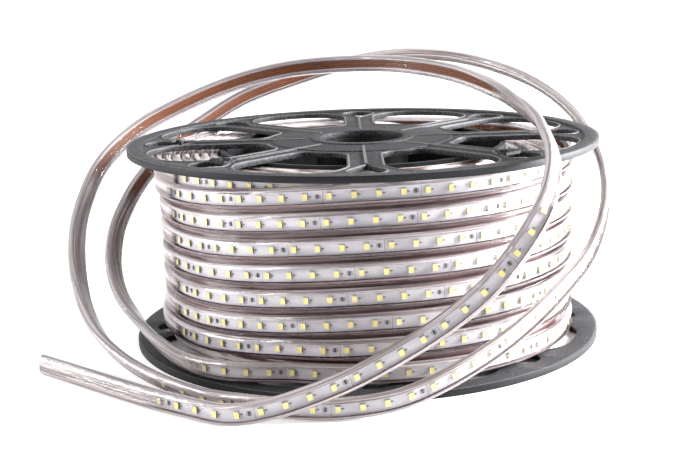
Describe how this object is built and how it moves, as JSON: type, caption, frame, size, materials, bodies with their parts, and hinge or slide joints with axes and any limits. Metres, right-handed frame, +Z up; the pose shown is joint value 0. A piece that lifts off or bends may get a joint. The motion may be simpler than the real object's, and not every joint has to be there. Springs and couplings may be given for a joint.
{
  "type": "reel of flat led rope light",
  "caption": "Plastic reel wound with clear flat LED rope light, its free end standing in wide hoops round the flanges and running off along the floor.",
  "frame": {"origin": "middle of the lower flange's outer face, on the spindle axis, where the reel stands on the floor", "axes": "+Z up along the spindle axis, the shortest extent of the reel; the reel's front is towards -Y and the rope's free end runs off towards -X"},
  "size_m": [0.4492, 0.4545, 0.2144],
  "materials": {
    "reel_plastic": "moulded charcoal plastic with a soft sheen and paler worn edges",
    "core_plastic": "plain dark moulded plastic",
    "wound_sheath": "glossy clear flexible sheath over a white circuit strip",
    "clear_sheath": "glossy clear flexible sheath over a white circuit strip",
    "circuit_strip": "matt white solder mask",
    "strip_back": "copper brown polyimide with fine lengthwise conductor lines",
    "led": "pale yellow phosphor in a cream case",
    "component": "small dark chip resistor",
    "solder": "dull tin"
  },
  "bodies": {
    "root": {"bottom_flange": "reel_plastic", "top_flange": "reel_plastic", "core_barrel": "core_plastic", "spindle_tube": "core_plastic", "rope_winding": "wound_sheath", "free_rope": "clear_sheath"}
  },
  "joints": []
}
